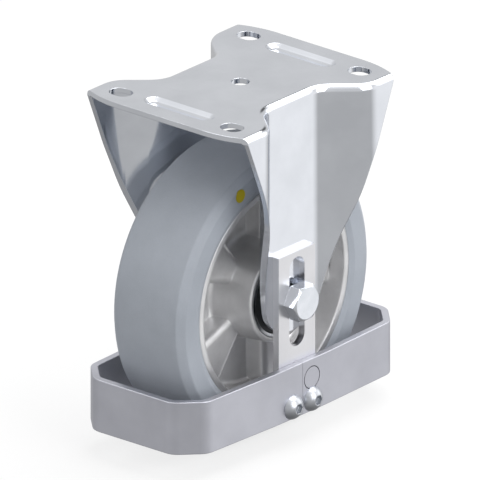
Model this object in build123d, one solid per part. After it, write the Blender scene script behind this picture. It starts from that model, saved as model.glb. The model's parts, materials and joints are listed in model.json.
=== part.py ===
"""Fixed caster with a foot guard, in millimetres.

A pressed steel fork carries a 160 mm rubber-tyred wheel on two ball bearings. An octagonal
flat-bar guard stands round the foot of the wheel, on two slotted strips that the axle bolt
clamps to the legs. X runs along the axle, Y along the rolling direction, Z up, and the
origin is the centre of the plate's mounting face.
"""
from build123d import *
from math import acos, atan2, cos, radians, sin, tan
import os

# Overall sizes
total_height = 195.0
wheel_diameter = 160.0
tyre_width = 50.0

# Fork: one sheet, pressed and bent
sheet = 3.0
plate_width = 112.4
plate_length = 131.6
plate_corner_setback = 6.0
plate_end_flat = 60.0
bend_radius = 3.7
fork_inner_width = 65.0
waist_corner = 22.6
waist_radius = 15.0
wing_corner = 40.4
wing_radius = 17.0
wing_knee_reach = 42.5
wing_knee_share = 0.404
leg_knee_reach = 30.0
leg_knee_above_axle = 29.0
knee_radius = 150.0
leg_end_radius = 23.4
leg_end_above_axle = 4.6
hole_spacing_across = 77.5
hole_spacing_along = 105.0
hole_width = 11.0
hole_length = 13.5
centre_hole_diameter = 10.0
bead_length = 46.0
bead_width = 10.8
bead_depth = 1.8
bead_draft = 50.0
bead_floor_radius = 1.5
bead_spacing = 100.0

# Axle and what it clamps
axle_diameter = 12.0
axle_hole_clearance = 0.1
axle_tube_diameter = 20.0
washer_diameter = 24.0
washer_thickness = 2.5
hex_across_flats = 19.0
hex_face_share = 0.94
bolt_head_height = 7.5
nut_hex_height = 8.5
nut_collar_height = 3.5
nut_collar_wall = 2.4
insert_height = 2.6
insert_wall = 1.3
nut_collar_rounding = 1.0
bolt_overhang = 2.5
bolt_tip_chamfer = 1.0

# Ball bearings, two
bearing_bore = axle_tube_diameter
bearing_diameter = 47.0
bearing_width = 14.0
bearing_recess = 0.5
outer_ring_rounding = 0.6
inner_ring_rounding = 0.5
ball_diameter = 7.6
ball_count = 8
ball_clearance = 0.2
inner_ring_wall = 3.2
outer_ring_wall = 3.2
cage_width = 9.2
cage_wall = 2.6
seal_thickness = 1.0
seal_inset = 0.4
seal_seat_depth = 1.0
seal_lip_clearance = 0.3
push_fit = 0.02
spacer_wall = 3.0

# Wheel centre, one aluminium casting
hub_side_clearance = 3.5
hub_wall = 2.4
hub_edge_radius = 0.9
hub_shoulder = 2.5
hub_draft = 2.6
web_thickness = 6.0
rim_diameter = 123.0
rim_width = 47.0
rim_wall = 3.8
rim_draft = 2.4
spoke_count = 5
spoke_angle = 34.0
spoke_width = 29.0
spoke_draft = 5.0
spoke_first_angle = 0.3
spoke_edge_radius = 4.0
casting_radius = 3.0
rim_groove_width = 8.0
rim_groove_depth = 1.5

# Tyre
tread_width = 42.8
tread_crown = 1.5
shoulder_drop = 4.0
sidewall_foot_drop = 3.4
sidewall_foot_inset = 1.5
tyre_edge_radius = 1.5
dot_diameter = 7.4
dot_depth = 0.6
dot_standout = 0.15
dot_radius = 71.2
dot_angle = 114.4

# Foot guard
bar_thickness = 4.0
bar_height = 30.0
guard_length = 178.0
guard_chamfer = 13.8
guard_bend_radius = 10.0
guard_side_bow = 2.3
guard_side_flat = 40.0
guard_side_radius = 200.0
guard_ground_gap = 15.0
guard_seam = 0.2
bar_edge_radius = 0.5
strip_width = 30.0
strip_thickness = 4.0
strip_top_above_axle = 28.0
slot_width = 12.5
slot_reach_up = 18.5
slot_reach_down = 20.0
guard_screw_diameter = 8.0
guard_screw_clearance = 0.2
guard_screw_spacing = 16.0
guard_screw_height = 7.0
button_diameter = 14.0
button_height = 4.4
button_flat = 6.0
button_shoulder_height = 2.7
button_shoulder_diameter = 10.9
screw_tip_chamfer = 0.8
socket_across_flats = 5.0
socket_depth = 2.6
guard_nut_across_flats = 13.0
guard_nut_height = 6.5
guard_screw_overhang = 1.0
pin_diameter = 12.0
pin_ring_clearance = 0.5
pin_shank_diameter = 8.0
pin_offset = 7.6
pin_height = 19.3

# Places worked out from the sizes
axle_drop = total_height - wheel_diameter / 2
leg_face = fork_inner_width / 2 + sheet
strip_inner_face = leg_face
strip_outer_face = strip_inner_face + strip_thickness
guard_side_face = strip_outer_face + bar_thickness
guard_bottom = -total_height + guard_ground_gap
guard_top = guard_bottom + bar_height
tube_half = fork_inner_width / 2 - washer_thickness
hub_half = fork_inner_width / 2 - hub_side_clearance
hub_radius = bearing_diameter / 2 + hub_wall
bearing_outer_face = hub_half - bearing_recess
bearing_inner_face = bearing_outer_face - bearing_width
bearing_middle = (bearing_outer_face + bearing_inner_face) / 2
pitch_radius = (bearing_bore + bearing_diameter) / 4
rim_radius = rim_diameter / 2
wheel_axis = Pos(0, 0, -axle_drop)
left_side = Plane.YZ


def turned(*points, radii=()):
    """Solid of revolution about the X axis from (x, radius) corners, some of them rounded."""
    section = make_face(Polyline(*points, close=True))
    for (x, radius), rounding in radii:
        corner = section.vertices().sort_by_distance((x, radius, 0))[0]
        section = fillet(corner, rounding)
    return revolve(Plane.XZ * section, Axis.X)


def sleeve(outer, inner, start, end):
    """Plain ring about the X axis between two stations."""
    return turned((start, inner), (end, inner), (end, outer), (start, outer))


def rod(radius, start, end):
    """Plain cylinder along the X axis between two stations."""
    return Plane.YZ.offset(start) * extrude(Circle(radius), end - start)


def hexagon_block(across_flats, start, end):
    """Hexagonal prism along X with a corner on the Y axis, its outer end chamfered."""
    corner_radius = across_flats / 2 / cos(radians(30))
    face_radius = hex_face_share * across_flats / 2
    rise = (corner_radius - face_radius) * tan(radians(30))
    prism = Plane.YZ.offset(start) * extrude(RegularPolygon(corner_radius, 6), end - start)
    envelope = turned((start, 0), (end, 0), (end, face_radius), (end - rise, corner_radius),
                      (start, corner_radius))
    return prism & envelope


def mirrored(shape):
    """The same piece on the other leg."""
    return mirror(shape, about=left_side)


def fork_outline(inset, reach):
    """Plan of the bent sheet, moved inwards by an inset, its two sides ending at a reach."""
    rise = atan2(plate_width / 2 - leg_face, wing_corner - waist_corner)
    shift = inset * tan(rise / 2)
    wing = plate_width / 2 - inset
    leg = leg_face - inset
    start = waist_corner + shift
    end = wing_corner + shift
    return FilletPolyline((wing, -reach), (wing, -end), (leg, -start), (leg, start), (wing, end),
                          (wing, reach), radius=[wing_radius - inset, waist_radius + inset,
                                                 waist_radius + inset, wing_radius - inset])


def fork_side_view():
    """Side view of the fork: tapering wings, slightly waisted legs and a rounded lower end."""
    corner = plate_length / 2 - plate_corner_setback
    top_height = -bend_radius
    end_height = -axle_drop + leg_end_above_axle
    knee_height = -axle_drop + leg_knee_above_axle
    wing_knee_height = -wing_knee_share * axle_drop
    to_knee = (leg_knee_reach ** 2 + (knee_height - end_height) ** 2) ** 0.5
    turn = atan2(knee_height - end_height, leg_knee_reach) - acos(leg_end_radius / to_knee)
    tangent_y = leg_end_radius * cos(turn)
    tangent_z = end_height + leg_end_radius * sin(turn)
    wide = plate_length
    taper = [(tangent_y, tangent_z), (leg_knee_reach, knee_height), (wing_knee_reach, wing_knee_height),
             (corner, top_height), (wide, top_height), (wide, 1)]
    other_taper = [(-y, z) for y, z in reversed(taper)]
    end_arc = ThreePointArc((-tangent_y, tangent_z), (0, end_height - leg_end_radius), (tangent_y, tangent_z))
    view = make_face([Polyline(*taper, *other_taper), end_arc])
    for y, z in taper[1:3]:
        for side in (1, -1):
            knee = view.vertices().sort_by_distance((side * y, z, 0))[0]
            view = fillet(knee, knee_radius)
    return view


def fork_bracket():
    """Waisted plate and two tapering legs, bent from one sheet."""
    corner = plate_length / 2 - plate_corner_setback
    side = fork_outline(0, corner)
    other_side = mirror(side, about=Plane.YZ)
    half_flat = plate_end_flat / 2
    end_arc = TangentArc((half_flat, plate_length / 2), (plate_width / 2, corner), tangent=(1, 0))
    end_line = Line((-half_flat, plate_length / 2), (half_flat, plate_length / 2))
    end_curve = end_arc + end_line + mirror(end_arc, about=Plane.YZ)
    outline = side + other_side + end_curve + mirror(end_curve, about=Plane.XZ)
    depth = axle_drop + leg_end_radius + 1
    block = extrude(make_face(outline.edges()), -depth)
    bends = block.faces().sort_by(Axis.Z)[-1].edges().filter_by(
        lambda edge: abs(edge.center().Y) < corner - 1)
    block = fillet(bends, bend_radius)

    reach = plate_length
    inner_wing = plate_width / 2 - sheet
    inner_side = fork_outline(sheet, reach)
    inner_end = Line((-inner_wing, reach), (inner_wing, reach))
    inner_outline = (inner_side + mirror(inner_side, about=Plane.YZ) + inner_end
                     + mirror(inner_end, about=Plane.XZ))
    hollow = Pos(0, 0, -sheet) * extrude(make_face(inner_outline.edges()), -depth)
    inner_bends = hollow.faces().sort_by(Axis.Z)[-1].edges().filter_by(
        lambda edge: abs(edge.center().Y) < reach - 1)
    hollow = fillet(inner_bends, bend_radius - sheet)
    sheet_form = block - hollow

    body = sheet_form & (Plane.YZ.offset(-plate_width) * extrude(fork_side_view(), 2 * plate_width))

    # Stiffening beads, pressed down across the plate near its ends
    bump = bead(bead_length + sheet, bead_width + sheet)
    groove = bead(bead_length, bead_width)
    for y in (-bead_spacing / 2, bead_spacing / 2):
        body = body + Pos(0, y, -sheet) * bump - Pos(0, y, 0) * groove

    for x in (-hole_spacing_across / 2, hole_spacing_across / 2):
        for y in (-hole_spacing_along / 2, hole_spacing_along / 2):
            body -= Pos(x, y, 0) * extrude(SlotOverall(hole_length, hole_width), sheet, both=True)
    body -= extrude(Circle(centre_hole_diameter / 2), 2 * sheet, both=True)
    body -= wheel_axis * rod(axle_diameter / 2 + axle_hole_clearance, -plate_width, plate_width)
    return body


def bead(length, width):
    """Slot-shaped block under Z = 0 with drafted walls and a rounded floor edge."""
    block = extrude(SlotOverall(length, width), -bead_depth, taper=bead_draft)
    return fillet(block.faces().sort_by(Axis.Z)[0].edges(), bead_floor_radius)


def wheel_centre():
    """Cast hub, web, spokes and rim."""
    web = web_thickness / 2
    rim_half = rim_width / 2
    rim_inner = rim_radius - rim_wall
    base_radius = hub_radius + hub_draft
    root_radius = rim_inner - rim_draft
    bore = bearing_diameter / 2
    shoulder = bore - hub_shoulder
    groove = rim_groove_width / 2
    hub_end = [(hub_half, bore), (hub_half, hub_radius), (web, base_radius), (web, root_radius),
               (rim_half, rim_inner), (rim_half, rim_radius), (groove, rim_radius),
               (groove, rim_radius - rim_groove_depth)]
    other_end = [(-x, radius) for x, radius in reversed(hub_end)]
    seats = [(-bearing_inner_face, bore), (-bearing_inner_face, shoulder),
             (bearing_inner_face, shoulder), (bearing_inner_face, bore)]
    rounded = []
    for side in (1, -1):
        rounded += [((side * web, base_radius), casting_radius), ((side * web, root_radius), casting_radius),
                    ((side * hub_half, hub_radius), hub_edge_radius)]
    casting = turned(*hub_end, *other_end, *seats, radii=rounded)

    inner = hub_radius - hub_wall / 2
    outer = rim_inner + rim_wall / 2
    half_angle = spoke_angle / 2
    wedge_face = make_face(Polyline((inner * cos(radians(half_angle)), -inner * sin(radians(half_angle))),
                                    (outer * cos(radians(half_angle)), -outer * sin(radians(half_angle))),
                                    (outer * cos(radians(half_angle)), outer * sin(radians(half_angle))),
                                    (inner * cos(radians(half_angle)), inner * sin(radians(half_angle))),
                                    close=True))
    wedge = extrude(wedge_face, spoke_width / 2, taper=spoke_draft)
    long_edges = wedge.faces().sort_by(Axis.Z)[-1].edges().filter_by(
        lambda edge: abs(edge.center().Y) > 1)
    wedge = fillet(long_edges, spoke_edge_radius)
    wedge += mirror(wedge, about=Plane.XY)
    wedge &= extrude(Circle(outer) - Circle(inner), spoke_width, both=True)
    for number in range(spoke_count):
        angle = spoke_first_angle + number * 360 / spoke_count
        casting += Plane.YZ * (Rot(0, 0, angle) * wedge)
    return wheel_axis * casting


def tyre():
    """Solid rubber tyre, crowned across the tread, seated on the rim."""
    outer = wheel_diameter / 2
    half_tread = tread_width / 2
    half_width = tyre_width / 2
    rim_half = rim_width / 2
    seat = rim_radius + push_fit
    groove = rim_groove_width / 2 - push_fit
    corner = (half_tread, outer - tread_crown)
    shoulder = (half_width, outer - tread_crown - shoulder_drop)
    foot = (half_width, seat + sidewall_foot_drop)
    toe = (half_width - sidewall_foot_inset, seat)
    side = [corner, shoulder, foot, toe, (groove, seat), (groove, seat - rim_groove_depth)]
    other_side = [(-x, radius) for x, radius in reversed(side)]
    crown = ThreePointArc(other_side[-1], (0, outer), corner)
    section = make_face([crown, Polyline(*side, *other_side)])
    for x, radius in (corner, shoulder, foot):
        for mirror_side in (1, -1):
            point = section.vertices().sort_by_distance((mirror_side * x, radius, 0))[0]
            section = fillet(point, tyre_edge_radius)
    body = revolve(Plane.XZ * section, Axis.X)
    return wheel_axis * (body - dot_place(push_fit) * extrude(Circle(dot_diameter / 2 + push_fit), sheet))


def dot_place(allowance):
    """Plane at the bottom of the marking's seat in the sidewall."""
    y = dot_radius * cos(radians(dot_angle))
    z = dot_radius * sin(radians(dot_angle))
    depth = dot_depth - dot_standout + allowance
    return Plane(origin=(tyre_width / 2 - depth, y, z), x_dir=(0, 1, 0), z_dir=(1, 0, 0))


def marker_dot():
    """Coloured disc let into the sidewall."""
    return wheel_axis * (dot_place(0) * extrude(Circle(dot_diameter / 2), dot_depth))


def bearing_outer_ring():
    """Outer race with its ball groove and a seat for each seal."""
    half = bearing_width / 2
    outer = bearing_diameter / 2 - push_fit
    inner = bearing_diameter / 2 - outer_ring_wall
    seat = half - seal_inset - seal_thickness
    ring = turned((-half, inner + seal_seat_depth), (-seat, inner + seal_seat_depth), (-seat, inner),
                  (seat, inner), (seat, inner + seal_seat_depth), (half, inner + seal_seat_depth),
                  (half, outer), (-half, outer), radii=[((-half, outer), outer_ring_rounding),
                                                            ((half, outer), outer_ring_rounding)])
    return ring - ball_track()


def bearing_inner_ring():
    """Inner race with its ball groove."""
    half = bearing_width / 2
    inner = bearing_bore / 2 + push_fit
    outer = bearing_bore / 2 + inner_ring_wall
    ring = turned((-half, inner), (half, inner), (half, outer), (-half, outer),
                  radii=[((-half, inner), inner_ring_rounding), ((half, inner), inner_ring_rounding)])
    return ring - ball_track()


def ball_track():
    """Torus that the balls run in."""
    track_radius = ball_diameter / 2 + ball_clearance
    return revolve(Plane.XZ * (Pos(0, pitch_radius) * Circle(track_radius)), Axis.X)


def ball_places():
    """Centres of the balls round the bearing."""
    return [Rot(number * 360 / ball_count, 0, 0) * Pos(0, 0, pitch_radius) for number in range(ball_count)]


def bearing_balls():
    """All the balls of one bearing."""
    return Part() + [place * Sphere(ball_diameter / 2) for place in ball_places()]


def bearing_cage():
    """Band with a round pocket for each ball."""
    band = sleeve(pitch_radius + cage_wall / 2, pitch_radius - cage_wall / 2, -cage_width / 2, cage_width / 2)
    for place in ball_places():
        band -= place * Sphere(ball_diameter / 2 + ball_clearance)
    return band


def bearing_seal(side):
    """Flat sealing ring, held in the outer race and just clear of the inner one."""
    outer = bearing_diameter / 2 - outer_ring_wall + seal_seat_depth - push_fit
    inner = bearing_bore / 2 + inner_ring_wall + seal_lip_clearance
    far = bearing_width / 2 - seal_inset
    return sleeve(outer, inner, min(side * far, side * (far - seal_thickness)),
                  max(side * far, side * (far - seal_thickness)))


def axle_tube():
    """Tube between the two leg washers that the bolt clamps."""
    return wheel_axis * sleeve(axle_tube_diameter / 2, axle_diameter / 2 + axle_hole_clearance,
                               -tube_half, tube_half)


def bearing_spacer():
    """Sleeve between the two inner races."""
    bore = axle_tube_diameter / 2 + push_fit
    return wheel_axis * sleeve(bore + spacer_wall, bore, -bearing_inner_face, bearing_inner_face)


def distance_ring():
    """Short ring between an inner race and the leg washer."""
    bore = axle_tube_diameter / 2 + push_fit
    return wheel_axis * sleeve(bore + spacer_wall, bore, bearing_outer_face, tube_half)


def leg_washer():
    """Washer between the axle tube's end and the leg."""
    return wheel_axis * sleeve(washer_diameter / 2, axle_diameter / 2 + axle_hole_clearance, tube_half,
                               fork_inner_width / 2)


def axle_bolt():
    """Hexagon head bolt through legs, strips and tube."""
    tip = -(strip_outer_face + nut_hex_height + nut_collar_height + bolt_overhang)
    radius = axle_diameter / 2
    shank = turned((tip, 0), (strip_outer_face, 0), (strip_outer_face, radius),
                   (tip + bolt_tip_chamfer, radius), (tip, radius - bolt_tip_chamfer))
    head = hexagon_block(hex_across_flats, strip_outer_face, strip_outer_face + bolt_head_height)
    return wheel_axis * (shank + head)


def axle_nut():
    """Self-locking nut: hexagon with a turned-in collar over its insert."""
    seat = strip_outer_face
    collar_radius = axle_diameter / 2 + nut_collar_wall
    collar_end = seat + nut_hex_height + nut_collar_height
    body = hexagon_block(hex_across_flats, seat, seat + nut_hex_height)
    body += turned((seat + 1, 0), (collar_end, 0), (collar_end, collar_radius), (seat + 1, collar_radius),
                   radii=[((collar_end, collar_radius), nut_collar_rounding)])
    body -= rod(axle_diameter / 2 + push_fit, seat - 1, collar_end + 1)
    body -= rod(axle_diameter / 2 + insert_wall + push_fit, insert_start() - push_fit,
                insert_start() + insert_height + push_fit)
    return mirrored(wheel_axis * body)


def insert_start():
    """Station of the locking insert's inner face, before mirroring."""
    return strip_outer_face + nut_hex_height + (nut_collar_height - insert_height) / 2


def nut_insert():
    """Nylon ring that grips the thread."""
    return mirrored(wheel_axis * sleeve(axle_diameter / 2 + insert_wall, axle_diameter / 2 + push_fit,
                                        insert_start(), insert_start() + insert_height))


def holder_strip(with_pin_hole):
    """Flat strip with the long slot that sets the guard's height."""
    top = -axle_drop + strip_top_above_axle
    height = top - guard_bottom
    slot_length = slot_reach_up + slot_reach_down + slot_width
    slot_middle = -axle_drop + (slot_reach_up - slot_reach_down) / 2
    face = Pos(0, top - height / 2) * Rectangle(strip_width, height)
    face -= Pos(0, slot_middle) * Rot(0, 0, 90) * SlotOverall(slot_length, slot_width)
    face -= screw_holes()
    if with_pin_hole:
        face -= pin_spot() * Circle(pin_shank_diameter / 2 + push_fit)
    return Plane.YZ.offset(strip_inner_face) * extrude(face, strip_thickness)


def screw_spots():
    """Places of the two screws, in the plane of the strip."""
    height = guard_bottom + guard_screw_height
    return [Pos(-guard_screw_spacing / 2, height), Pos(guard_screw_spacing / 2, height)]


def screw_holes():
    """Clearance holes of the two screws."""
    hole = Circle(guard_screw_diameter / 2 + guard_screw_clearance)
    return Sketch() + [spot * hole for spot in screw_spots()]


def pin_spot():
    """Place of the locating pin, above the screw at the bar's end."""
    return Pos(pin_offset, guard_bottom + pin_height)


def guard_plan(inset):
    """Octagon of the guard's bar in plan, moved inwards by an inset."""
    side = guard_side_face - inset
    corner_side = guard_side_face - guard_side_bow - inset
    end = guard_length / 2 - inset
    turn = inset * tan(radians(22.5))
    corner_y = guard_length / 2 - guard_chamfer - turn
    corner_x = guard_side_face - guard_side_bow - guard_chamfer - turn
    flat = guard_side_flat / 2
    quarter = [(side, flat), (corner_side, corner_y), (corner_x, end)]
    radii = [guard_side_radius, guard_bend_radius - inset, guard_bend_radius - inset]
    points = (quarter + [(-x, y) for x, y in reversed(quarter)] + [(-x, -y) for x, y in quarter]
              + [(x, -y) for x, y in reversed(quarter)])
    rounding = radii + radii[::-1] + radii + radii[::-1]
    return make_face(FilletPolyline(*points, radius=rounding, close=True))


def guard_ring():
    """Flat bar bent into an octagon, its ends meeting at the middle of one side."""
    bar = guard_plan(0) - guard_plan(bar_thickness)
    ring = Pos(0, 0, guard_bottom) * extrude(bar, bar_height)
    ring = fillet(ring.faces().sort_by(Axis.Z)[0].edges() + ring.faces().sort_by(Axis.Z)[-1].edges(),
                  bar_edge_radius)
    ring -= Pos(guard_side_face, 0, (guard_bottom + guard_top) / 2) * Box(4 * bar_thickness, guard_seam,
                                                                          2 * bar_height)
    holes = Plane.YZ.offset(-guard_side_face - 1) * extrude(screw_holes(), 2 * guard_side_face + 2)
    pin_hole = pin_spot() * Circle(pin_diameter / 2 + pin_ring_clearance)
    ring -= Plane.YZ.offset(strip_outer_face - 1) * extrude(pin_hole, bar_thickness + 2)
    return ring - holes


def guard_screw():
    """Button head screw with a hexagon socket, its head's underside at X = 0."""
    radius = guard_screw_diameter / 2
    length = bar_thickness + strip_thickness + guard_nut_height + guard_screw_overhang
    shank = turned((-length, 0), (0, 0), (0, radius), (screw_tip_chamfer - length, radius),
                   (-length, radius - screw_tip_chamfer))
    middle = (button_shoulder_height, button_shoulder_diameter / 2)
    profile = make_face([ThreePointArc((button_height, button_flat / 2), middle, (0, button_diameter / 2)),
                         Polyline((0, button_diameter / 2), (0, 0), (button_height, 0),
                                  (button_height, button_flat / 2))])
    head = revolve(Plane.XZ * profile, Axis.X)
    socket_radius = socket_across_flats / 2 / cos(radians(30))
    socket = Plane.YZ.offset(button_height - socket_depth) * extrude(RegularPolygon(socket_radius, 6),
                                                                     socket_depth + 1)
    return shank + head - socket


def guard_nut():
    """Hexagon nut behind the strip, its seat at X = 0."""
    nut = mirrored(hexagon_block(guard_nut_across_flats, 0, guard_nut_height))
    return nut - rod(guard_screw_diameter / 2 + push_fit, -guard_nut_height - 1, 1)


def guard_pin():
    """Locating pin, flush with the bar and fixed in the strip."""
    head = turned((strip_outer_face, 0), (guard_side_face, 0), (guard_side_face, pin_diameter / 2),
                  (strip_outer_face, pin_diameter / 2))
    shank = rod(pin_shank_diameter / 2, strip_inner_face, strip_outer_face)
    return Pos(0, pin_offset, guard_bottom + pin_height) * (head + shank)


def pieces():
    """Every separate piece of the caster by its node name."""
    found = {
        "fork_bracket": fork_bracket(),
        "wheel_centre": wheel_centre(),
        "tyre": tyre(),
        "marker_dot": marker_dot(),
        "axle_tube": axle_tube(),
        "bearing_spacer": bearing_spacer(),
        "axle_bolt": axle_bolt(),
        "axle_nut": axle_nut(),
        "nut_insert": nut_insert(),
        "guard_ring": guard_ring(),
        "guard_pin": guard_pin(),
        "holder_strip_right": holder_strip(True),
        "holder_strip_left": mirrored(holder_strip(False)),
        "distance_ring_right": distance_ring(),
        "distance_ring_left": mirrored(distance_ring()),
        "leg_washer_right": leg_washer(),
        "leg_washer_left": mirrored(leg_washer()),
    }
    bearing_parts = {
        "bearing_outer_ring": bearing_outer_ring(),
        "bearing_inner_ring": bearing_inner_ring(),
        "bearing_balls": bearing_balls(),
        "bearing_cage": bearing_cage(),
        "bearing_outer_seal": bearing_seal(1),
        "bearing_inner_seal": bearing_seal(-1),
    }
    for name, shape in bearing_parts.items():
        placed = wheel_axis * Pos(bearing_middle, 0, 0) * shape
        found[name + "_right"] = placed
        found[name + "_left"] = mirrored(placed)
    for end, y in (("rear", -guard_screw_spacing / 2), ("front", guard_screw_spacing / 2)):
        height = guard_bottom + guard_screw_height
        screw = Pos(guard_side_face, y, height) * guard_screw()
        nut = Pos(strip_inner_face, y, height) * guard_nut()
        found["guard_screw_right_" + end] = screw
        found["guard_screw_left_" + end] = mirrored(screw)
        found["guard_nut_right_" + end] = nut
        found["guard_nut_left_" + end] = mirrored(nut)
    return found


os.makedirs("parts", exist_ok=True)
for node, shape in pieces().items():
    export_step(shape, f"parts/{node}.step")
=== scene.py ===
# Looks of the fixed caster with a foot guard: finishes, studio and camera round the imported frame
import json
import math
import bpy
import numpy as np
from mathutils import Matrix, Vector

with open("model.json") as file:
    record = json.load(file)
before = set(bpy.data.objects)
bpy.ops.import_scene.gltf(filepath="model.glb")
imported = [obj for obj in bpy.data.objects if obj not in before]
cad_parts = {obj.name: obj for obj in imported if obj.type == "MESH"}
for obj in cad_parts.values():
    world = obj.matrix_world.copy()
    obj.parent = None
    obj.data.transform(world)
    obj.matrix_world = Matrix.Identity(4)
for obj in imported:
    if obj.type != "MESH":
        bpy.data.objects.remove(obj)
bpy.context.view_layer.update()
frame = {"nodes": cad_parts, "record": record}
nodes = frame["nodes"]
print("frame loaded:", len(nodes), "nodes")


class Link:
    # One socket of a node, with the operators that the finishes are written in
    def __init__(self, sheet, socket):
        self.sheet = sheet
        self.socket = socket

    def maths(self, operation, first, second):
        return self.sheet.add("ShaderNodeMath", {"operation": operation}, {0: first, 1: second})

    def atLeast(self, other):
        return self.maths("MAXIMUM", self, other)

    def atMost(self, other):
        return self.maths("MINIMUM", self, other)

    def __abs__(self):
        return self.maths("ABSOLUTE", self, 0.0)

    def __add__(self, other):
        return self.maths("ADD", self, other)

    def __radd__(self, other):
        return self.maths("ADD", other, self)

    def __sub__(self, other):
        return self.maths("SUBTRACT", self, other)

    def __rsub__(self, other):
        return self.maths("SUBTRACT", other, self)

    def __mul__(self, other):
        return self.maths("MULTIPLY", self, other)

    def __pow__(self, other):
        return self.maths("POWER", self, other)


class Sheet:
    # A node tree, and the one method that adds a node to it
    def __init__(self, tree):
        self.tree = tree
        tree.nodes.clear()

    def add(self, kind, settings=None, inputs=None, output=0):
        node = self.tree.nodes.new(kind)
        for name, value in (settings or {}).items():
            setattr(node, name, value)
        for name, value in (inputs or {}).items():
            if isinstance(value, Link):
                self.tree.links.new(value.socket, node.inputs[name])
            else:
                node.inputs[name].default_value = value
        return Link(self, node.outputs[output]) if len(node.outputs) else node

    def place(self):
        return self.add("ShaderNodeTexCoord", output="Object")

    def stretched(self, scale):
        # The object's own coordinates, in pattern units, with another scale along each axis
        return self.add("ShaderNodeMapping", {}, {"Vector": self.place(), "Scale": scale})

    def noise(self, vector, scale, detail=3.0, roughness=0.55):
        return self.add("ShaderNodeTexNoise", {}, {"Vector": vector, "Scale": scale, "Detail": detail,
                                                   "Roughness": roughness})

    def fade(self, value, fromLow, fromHigh, toLow, toHigh):
        return self.add("ShaderNodeMapRange", {"clamp": True},
                        {"Value": value, 1: fromLow, 2: fromHigh, 3: toLow, 4: toHigh})

    def blend(self, factor, first, second):
        mix = self.tree.nodes.new("ShaderNodeMix")
        mix.data_type = "RGBA"
        for socket, value in ((mix.inputs[0], factor), (mix.inputs[6], first), (mix.inputs[7], second)):
            if isinstance(value, Link):
                self.tree.links.new(value.socket, socket)
            else:
                socket.default_value = value
        return Link(self, mix.outputs[2])

    def bump(self, height, strength, distance, normal=None):
        inputs = {"Height": height, "Strength": strength, "Distance": distance}
        if normal is not None:
            inputs["Normal"] = normal
        return self.add("ShaderNodeBump", {}, inputs)

    def softEdge(self, radius):
        return self.add("ShaderNodeBevel", {"samples": 6}, {"Radius": radius})

    def parts(self, vector):
        return [self.add("ShaderNodeSeparateXYZ", {}, {0: vector}, output) for output in range(3)]


def linear(red, green, blue):
    # A screen colour from 0 to 255, as the linear colour that a shader takes
    channels = np.array((red, green, blue)) / 255
    straight = np.where(channels <= 0.04045, channels / 12.92, ((channels + 0.055) / 1.055) ** 2.4)
    return (*straight.tolist(), 1.0)


def finish(name, surface, colour, roughness, normal=None):
    # A principled surface whose colour, roughness and normal may be patterns
    material = bpy.data.materials.new(name)
    material.use_nodes = True
    sheet = Sheet(material.node_tree)
    inputs = {"Base Color": colour(sheet), "Roughness": roughness(sheet)}
    if normal is not None:
        inputs["Normal"] = normal(sheet)
    shader = sheet.add("ShaderNodeBsdfPrincipled", {}, {**inputs, **surface})
    sheet.add("ShaderNodeOutputMaterial", {}, {"Surface": shader})
    return material


def platedSteel(name, look):
    # Bright zinc over steel: cloudy patches, faint drawn lines along one axis, rounded edges
    def clouds(sheet):
        return sheet.noise(sheet.place(), look["cloudScale"], look["cloudDetail"])

    def lines(sheet):
        return sheet.noise(sheet.stretched(look["lineScale"]), 1.0, look["lineDetail"])

    def colour(sheet):
        low, high = look["cloudRange"]
        return sheet.blend(sheet.fade(clouds(sheet), low, high, 0.0, 1.0), look["dark"], look["light"])

    def roughness(sheet):
        drawn = (lines(sheet) - 0.5) * look["lineDepth"]
        patches = (clouds(sheet) - 0.5) * look["cloudDepth"]
        return look["roughness"] + drawn + patches

    def normal(sheet):
        grain = sheet.noise(sheet.place(), look["grainScale"], look["grainDetail"])
        height = grain * look["grainShare"] + lines(sheet) * (1.0 - look["grainShare"])
        skin = sheet.bump(height, look["bump"], look["bumpHeight"], sheet.softEdge(look["edge"]))
        if "troughSlope" not in look:
            return skin
        # The floor of each bead is a shallow valley: its height grows with the distance from the middle
        # line, which runs along X, up to half the floor's width
        x, y, _ = sheet.parts(sheet.place())
        along = (abs(x) - look["troughSpine"]).atLeast(0.0)
        across = abs(y) - look["troughPlace"]
        away = (along * along + across * across) ** 0.5
        return sheet.bump(away.atMost(look["troughHalf"]), 1.0, look["troughSlope"], skin)

    return finish(name, {"Metallic": look["metallic"]}, colour, roughness, normal)


# Lengths are in metres; scales are patterns to a metre; depths are the roughness between the extremes
sheetLook = {
    "dark": linear(222, 225, 231), "light": linear(232, 235, 241), "metallic": 1.0, "roughness": 0.12,
    "cloudScale": 28.0, "cloudDetail": 4.0, "cloudRange": (0.35, 0.65), "cloudDepth": 0.03,
    "lineScale": (30.0, 420.0, 30.0), "lineDetail": 2.0, "lineDepth": 0.02,
    "grainScale": 700.0, "grainDetail": 3.0, "grainShare": 0.6,
    "bump": 0.015, "bumpHeight": 0.0002, "edge": 0.0004,
}
pressedLook = {**sheetLook, "troughSlope": 0.16, "troughSpine": 0.0176, "troughPlace": 0.05,
               "troughHalf": 0.0034}
barLook = {**sheetLook, "dark": linear(188, 189, 197), "light": linear(198, 199, 207),
           "roughness": 0.46, "lineScale": (20.0, 20.0, 600.0), "lineDepth": 0.06, "edge": 0.0001}
stripLook = {**barLook, "dark": linear(218, 218, 221), "light": linear(228, 228, 231), "roughness": 0.28,
             "lineDepth": 0.01, "bump": 0.004}
fastenerLook = {**sheetLook, "dark": linear(222, 226, 232), "light": linear(232, 235, 241),
                "roughness": 0.13, "cloudScale": 120.0, "lineScale": (900.0, 40.0, 40.0),
                "lineDepth": 0.05, "edge": 0.0004}
screwLook = {**fastenerLook, "dark": linear(188, 191, 197), "light": linear(200, 203, 208),
             "roughness": 0.34}
turnedLook = {**fastenerLook, "dark": linear(150, 152, 156), "light": linear(170, 172, 176),
              "roughness": 0.30}
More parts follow.
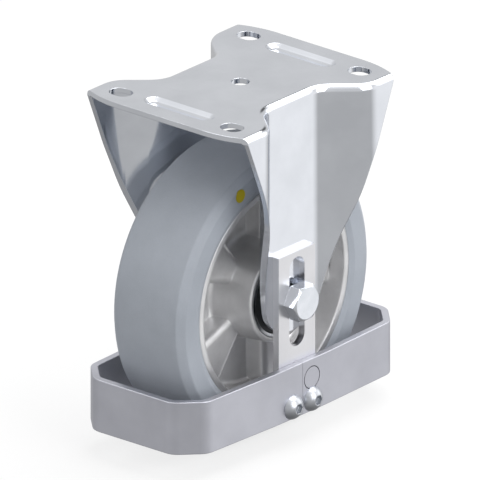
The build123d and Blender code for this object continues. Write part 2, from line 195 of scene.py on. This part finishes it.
groundLook = {**turnedLook, "light": linear(214, 216, 220)}
castLook = {**sheetLook, "dark": linear(214, 214, 215), "light": linear(230, 230, 231),
            "metallic": 0.78, "roughness": 0.40, "cloudScale": 60.0, "cloudDepth": 0.12,
            "lineScale": (80.0, 80.0, 80.0), "lineDepth": 0.04, "grainScale": 1400.0,
            "bump": 0.22, "bumpHeight": 0.0003, "edge": 0.0018}


def rubber(name, look):
    # Vulcanised rubber: fine speckle, faint dusty bloom and a shallow moulded skin
    def colour(sheet):
        bloom = sheet.noise(sheet.place(), look["bloomScale"], look["bloomDetail"], look["bloomGain"])
        speckle = sheet.noise(sheet.place(), look["speckleScale"], 1.0)
        low, high = look["bloomRange"]
        dust = sheet.fade(bloom, low, high, 0.0, look["bloomShare"])
        return sheet.blend(dust + (speckle - 0.5) * look["speckleShare"], look["dark"], look["light"])

    def roughness(sheet):
        patches = sheet.noise(sheet.place(), look["bloomScale"] * 2, 3.0)
        return look["roughness"] + (patches - 0.5) * look["patchDepth"]

    def normal(sheet):
        skin = sheet.noise(sheet.place(), look["skinScale"], look["skinDetail"])
        return sheet.bump(skin, look["bump"], look["bumpHeight"], sheet.softEdge(look["edge"]))

    surface = {"Metallic": 0.0, "Specular IOR Level": look["specular"]}
    return finish(name, surface, colour, roughness, normal)


tyreLook = {
    "dark": linear(170, 176, 185), "light": linear(188, 194, 203), "roughness": 0.62, "specular": 0.4,
    "bloomScale": 22.0, "bloomDetail": 5.0, "bloomGain": 0.6, "bloomRange": (0.3, 0.7),
    "bloomShare": 0.8, "speckleScale": 1600.0, "speckleShare": 0.4, "patchDepth": 0.16,
    "skinScale": 900.0, "skinDetail": 4.0, "bump": 0.25, "bumpHeight": 0.0003, "edge": 0.0008,
}
sealLook = {**tyreLook, "dark": linear(58, 60, 62), "light": linear(72, 74, 76), "roughness": 0.5,
            "bump": 0.15}
dotLook = {**tyreLook, "dark": linear(186, 168, 12), "light": linear(206, 188, 30), "roughness": 0.5,
           "bump": 0.12}
nylonLook = {**tyreLook, "dark": linear(196, 198, 196), "light": linear(214, 216, 214), "roughness": 0.4,
             "bump": 0.05}

finishes = {
    "zinc_sheet": platedSteel("zincSheet", pressedLook),
    "zinc_bar": platedSteel("zincBar", barLook),
    "strip": platedSteel("zincStrip", stripLook),
    "zinc_fastener": platedSteel("zincFastener", fastenerLook),
    "screw": platedSteel("zincScrew", screwLook),
    "bright_steel": platedSteel("turnedSteel", turnedLook),
    "bearing_steel": platedSteel("groundSteel", groundLook),
    "cast_aluminium": platedSteel("castAluminium", castLook),
    "grey_rubber": rubber("greyRubber", tyreLook),
    "black_rubber": rubber("sealRubber", sealLook),
    "yellow_mark": rubber("yellowMark", dotLook),
    "nylon": rubber("lockingNylon", nylonLook),
}
# The strips and the guard's screws have a finish of their own; the others follow their material's slot
ownFinish = {"holder_strip": "strip", "guard_screw": "screw"}
slotOf = {entry["node"]: entry["material_slot"] for entry in frame["record"]["subparts"]}
for name, node in nodes.items():
    for place in node.material_slots:
        own = [key for start, key in ownFinish.items() if name.startswith(start)]
        place.material = finishes[own[0] if own else slotOf[name]]
print("finishes given to", len(nodes), "nodes")

studio = {
    "azimuth": 40.27, "elevation": 22.04,       # the photograph's orthographic view, degrees
    "scale": 0.2555,                            # metres across the frame
    "aimBelow": 0.0843, "aimRight": -0.0002,    # of the frame's centre from the plate's centre, metres
    "distance": 2.0, "clipEnd": 20.0,
    "floor": -0.195, "floorReach": 6.0,         # height under the plate's face, and half its width
    "brightSide": (0.45, 0.85, 0.25),           # where the soft light is strongest
    "sideFrom": -0.9, "sideTo": 0.7,            # how far round the soft light fades
    "worldLight": 0.62, "farSide": 1.0, "nearSide": 0.42,
    "floorSeen": 0.95, "floorGlow": 0.78,       # to the camera: its white, and how much of it is glow
    "floorBounce": 0.35,                        # its white to light that it throws back on the object
}
azimuth = math.radians(studio["azimuth"])
elevation = math.radians(studio["elevation"])
back = Vector((math.sin(azimuth) * math.cos(elevation), -math.cos(azimuth) * math.cos(elevation),
               math.sin(elevation)))
rightward = Vector((math.cos(azimuth), math.sin(azimuth), 0))
upward = back.cross(rightward)


def makeCamera():
    cameraData = bpy.data.cameras.new("camera")
    cameraData.type = "ORTHO"
    cameraData.ortho_scale = studio["scale"]
    cameraData.clip_end = studio["clipEnd"]
    camera = bpy.data.objects.new("camera", cameraData)
    bpy.context.scene.collection.objects.link(camera)
    aim = -upward * studio["aimBelow"] + rightward * studio["aimRight"]
    camera.location = aim + back * studio["distance"]
    camera.rotation_euler = (-back).to_track_quat("-Z", "Y").to_euler()
    bpy.context.scene.camera = camera


# The studio that polished metal mirrors: a plain wall between a dark floor and a bright ceiling, 1 being
# white. The wall's foot and top are given as the sine of the elevation
backdrop = {"floorLevel": 0.2, "wallLevel": 0.7, "ceilingLevel": 1.2, "wallFrom": 0.0, "wallTo": 0.5}
# Soft round panels on that wall: the direction of the middle, and where each is full and where it ends,
# in degrees
panels = {
    "widePanel": {"azimuth": 50, "elevation": 0, "full": 25, "end": 45, "level": 1.0},
    "brightPanel": {"azimuth": 60, "elevation": 20, "full": 10, "end": 25, "level": 2.0},
    "darkCard": {"azimuth": 110, "elevation": 30, "full": 5, "end": 15, "level": 0.1},
}


def mirroredStudio(sheet, direction):
    # The backdrop by height, with each panel laid over it
    sine = sheet.parts(direction)[2]
    wall = backdrop["wallLevel"]
    level = sheet.fade(sine, -1.0, backdrop["wallFrom"], backdrop["floorLevel"], wall)
    level = level + sheet.fade(sine, backdrop["wallTo"], 1.0, 0.0, backdrop["ceilingLevel"] - wall)
    for panel in panels.values():
        turn, rise = math.radians(panel["azimuth"]), math.radians(panel["elevation"])
        middle = (math.cos(rise) * math.cos(turn), math.cos(rise) * math.sin(turn), math.sin(rise))
        near = sheet.add("ShaderNodeVectorMath", {"operation": "DOT_PRODUCT"}, {0: direction, 1: middle},
                         output="Value")
        share = sheet.fade(near, math.cos(math.radians(panel["end"])),
                           math.cos(math.radians(panel["full"])), 0.0, 1.0)
        level = level + (panel["level"] - level) * share
    return level


def makeWorld():
    # White to the camera, soft light with a bright far side, and the mirrored studio in polished metal
    world = bpy.data.worlds.new("studio")
    bpy.context.scene.world = world
    world.use_nodes = True
    sheet = Sheet(world.node_tree)
    direction = sheet.add("ShaderNodeTexCoord", output="Generated")
    towards = sheet.add("ShaderNodeVectorMath", {"operation": "DOT_PRODUCT"},
                        {0: direction, 1: studio["brightSide"]}, output="Value")
    side = sheet.fade(towards, studio["sideFrom"], studio["sideTo"], studio["nearSide"], studio["farSide"])
    lit = side * studio["worldLight"]
    cameraRay = sheet.add("ShaderNodeLightPath", output="Is Camera Ray")
    glossyRay = sheet.add("ShaderNodeLightPath", output="Is Glossy Ray")
    mirrored = glossyRay * mirroredStudio(sheet, direction)
    level = cameraRay + mirrored + (1 - cameraRay) * (1 - glossyRay) * lit
    light = sheet.add("ShaderNodeBackground", {}, {"Color": (1, 1, 1, 1), "Strength": level})
    sheet.add("ShaderNodeOutputWorld", {}, {"Surface": light})


def makeFloor():
    # A plain pale floor that keeps the object's shadow, and lets glossy rays through to the studio's walls
    reach = studio["floorReach"]
    corners = np.array([(-1, -1), (1, -1), (1, 1), (-1, 1)]) * reach
    mesh = bpy.data.meshes.new("floor")
    mesh.from_pydata([(x, y, studio["floor"]) for x, y in corners], [], [(0, 1, 2, 3)])
    floor = bpy.data.objects.new("floor", mesh)
    bpy.context.scene.collection.objects.link(floor)
    material = bpy.data.materials.new("whiteFloor")
    material.use_nodes = True
    sheet = Sheet(material.node_tree)
    pale = [sheet.add("ShaderNodeBsdfDiffuse", {}, {"Color": (white, white, white, 1)})
            for white in (studio["floorSeen"], studio["floorBounce"])]
    glow = sheet.add("ShaderNodeEmission", {}, {"Color": (1, 1, 1, 1), "Strength": 1.0})
    seen = sheet.add("ShaderNodeMixShader", {}, {0: studio["floorGlow"], 1: pale[0], 2: glow})
    cameraRay = sheet.add("ShaderNodeLightPath", output="Is Camera Ray")
    mixed = sheet.add("ShaderNodeMixShader", {}, {0: cameraRay, 1: pale[1], 2: seen})
    clear = sheet.add("ShaderNodeBsdfTransparent")
    glossyRay = sheet.add("ShaderNodeLightPath", output="Is Glossy Ray")
    both = sheet.add("ShaderNodeMixShader", {}, {0: glossyRay, 1: mixed, 2: clear})
    sheet.add("ShaderNodeOutputMaterial", {}, {"Surface": both})
    mesh.materials.append(material)


def makeLamp(name, settings):
    lampData = bpy.data.lights.new(name, "AREA")
    lampData.shape = "RECTANGLE"
    lampData.size, lampData.size_y = settings["size"]
    lampData.energy = settings["power"]
    lamp = bpy.data.objects.new(name, lampData)
    bpy.context.scene.collection.objects.link(lamp)
    lamp.location = settings["at"]
    aim = Vector(settings["aim"]) - Vector(settings["at"])
    lamp.rotation_euler = aim.to_track_quat("-Z", "Y").to_euler()


lamps = {
    "softboxTop": {"at": (0.1, 0.5, 1.3), "aim": (0, 0, -0.1), "size": (1.4, 1.4), "power": 18.0},
    "softboxRight": {"at": (1.3, -0.1, 0.5), "aim": (0, 0, -0.12), "size": (0.9, 1.2), "power": 9.0},
    "softboxLeft": {"at": (-0.5, -1.4, 0.5), "aim": (0, 0, -0.12), "size": (0.9, 1.2), "power": 6.0},
}
makeCamera()
makeWorld()
makeFloor()
for lampName, lampSettings in lamps.items():
    makeLamp(lampName, lampSettings)
bpy.context.scene.view_settings.view_transform = "Standard"
print("studio ready")
